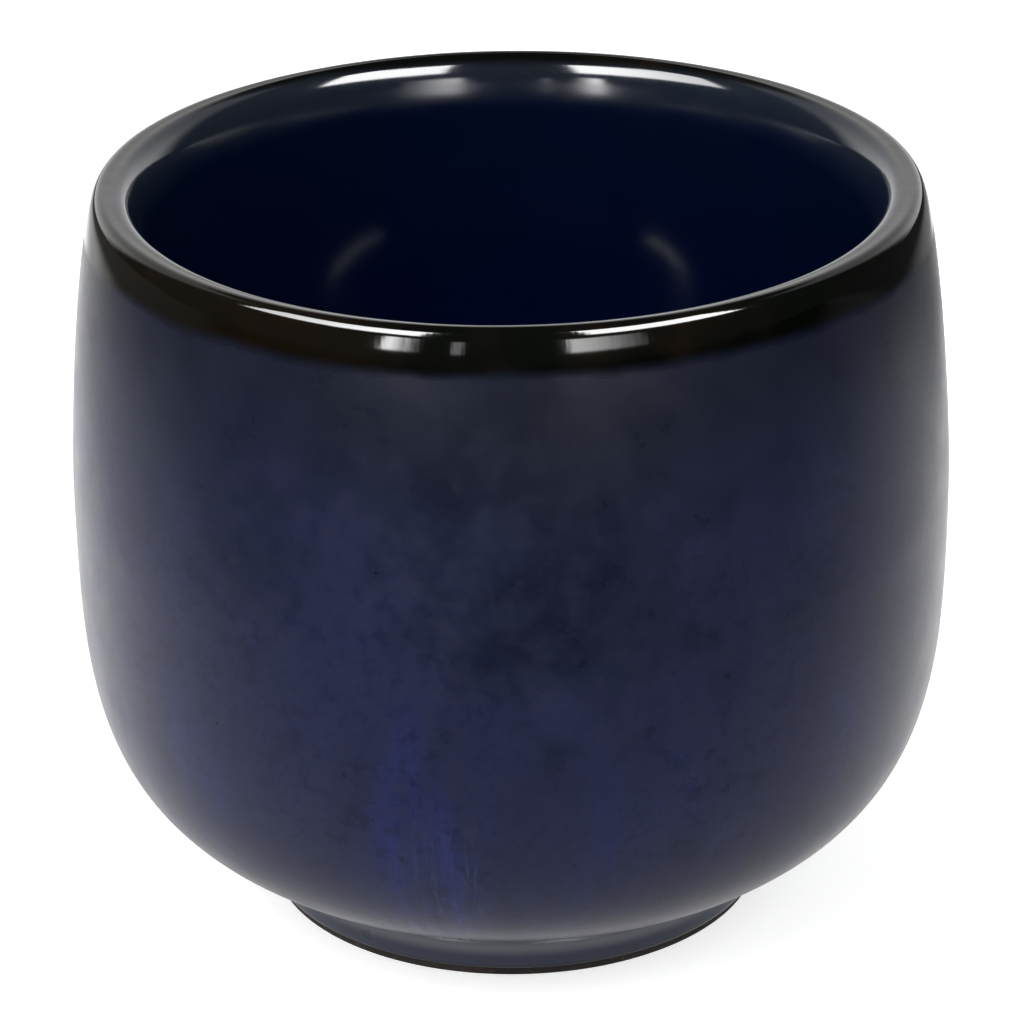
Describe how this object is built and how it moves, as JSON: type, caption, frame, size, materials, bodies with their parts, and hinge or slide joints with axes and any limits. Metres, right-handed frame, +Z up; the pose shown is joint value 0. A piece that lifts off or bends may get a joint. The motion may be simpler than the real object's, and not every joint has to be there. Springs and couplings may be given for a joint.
{
  "type": "sake cup",
  "caption": "Round-bellied stoneware cup with no handle, on a low foot ring, glazed satin navy outside and glossy deep blue inside, with a glossy dark band over the rim.",
  "frame": {"origin": "centre of the foot ring's contact face, on the table", "axes": "+Z up along the cup's axis of revolution; X and Y are alike, and the side shown in the picture faces -Y"},
  "size_m": [0.064, 0.064, 0.0549],
  "materials": {
    "stoneware": "matte",
    "slip": "matte",
    "navy_glaze": "satin",
    "rim_glaze": "gloss",
    "inner_glaze": "gloss"
  },
  "bodies": {
    "root": {"clay_bowl": "stoneware", "foot_ring": "stoneware", "luting_slip": "slip", "outer_glaze": "navy_glaze", "rim_glaze": "rim_glaze", "inner_glaze": "inner_glaze", "base_glaze": "navy_glaze"}
  },
  "joints": []
}
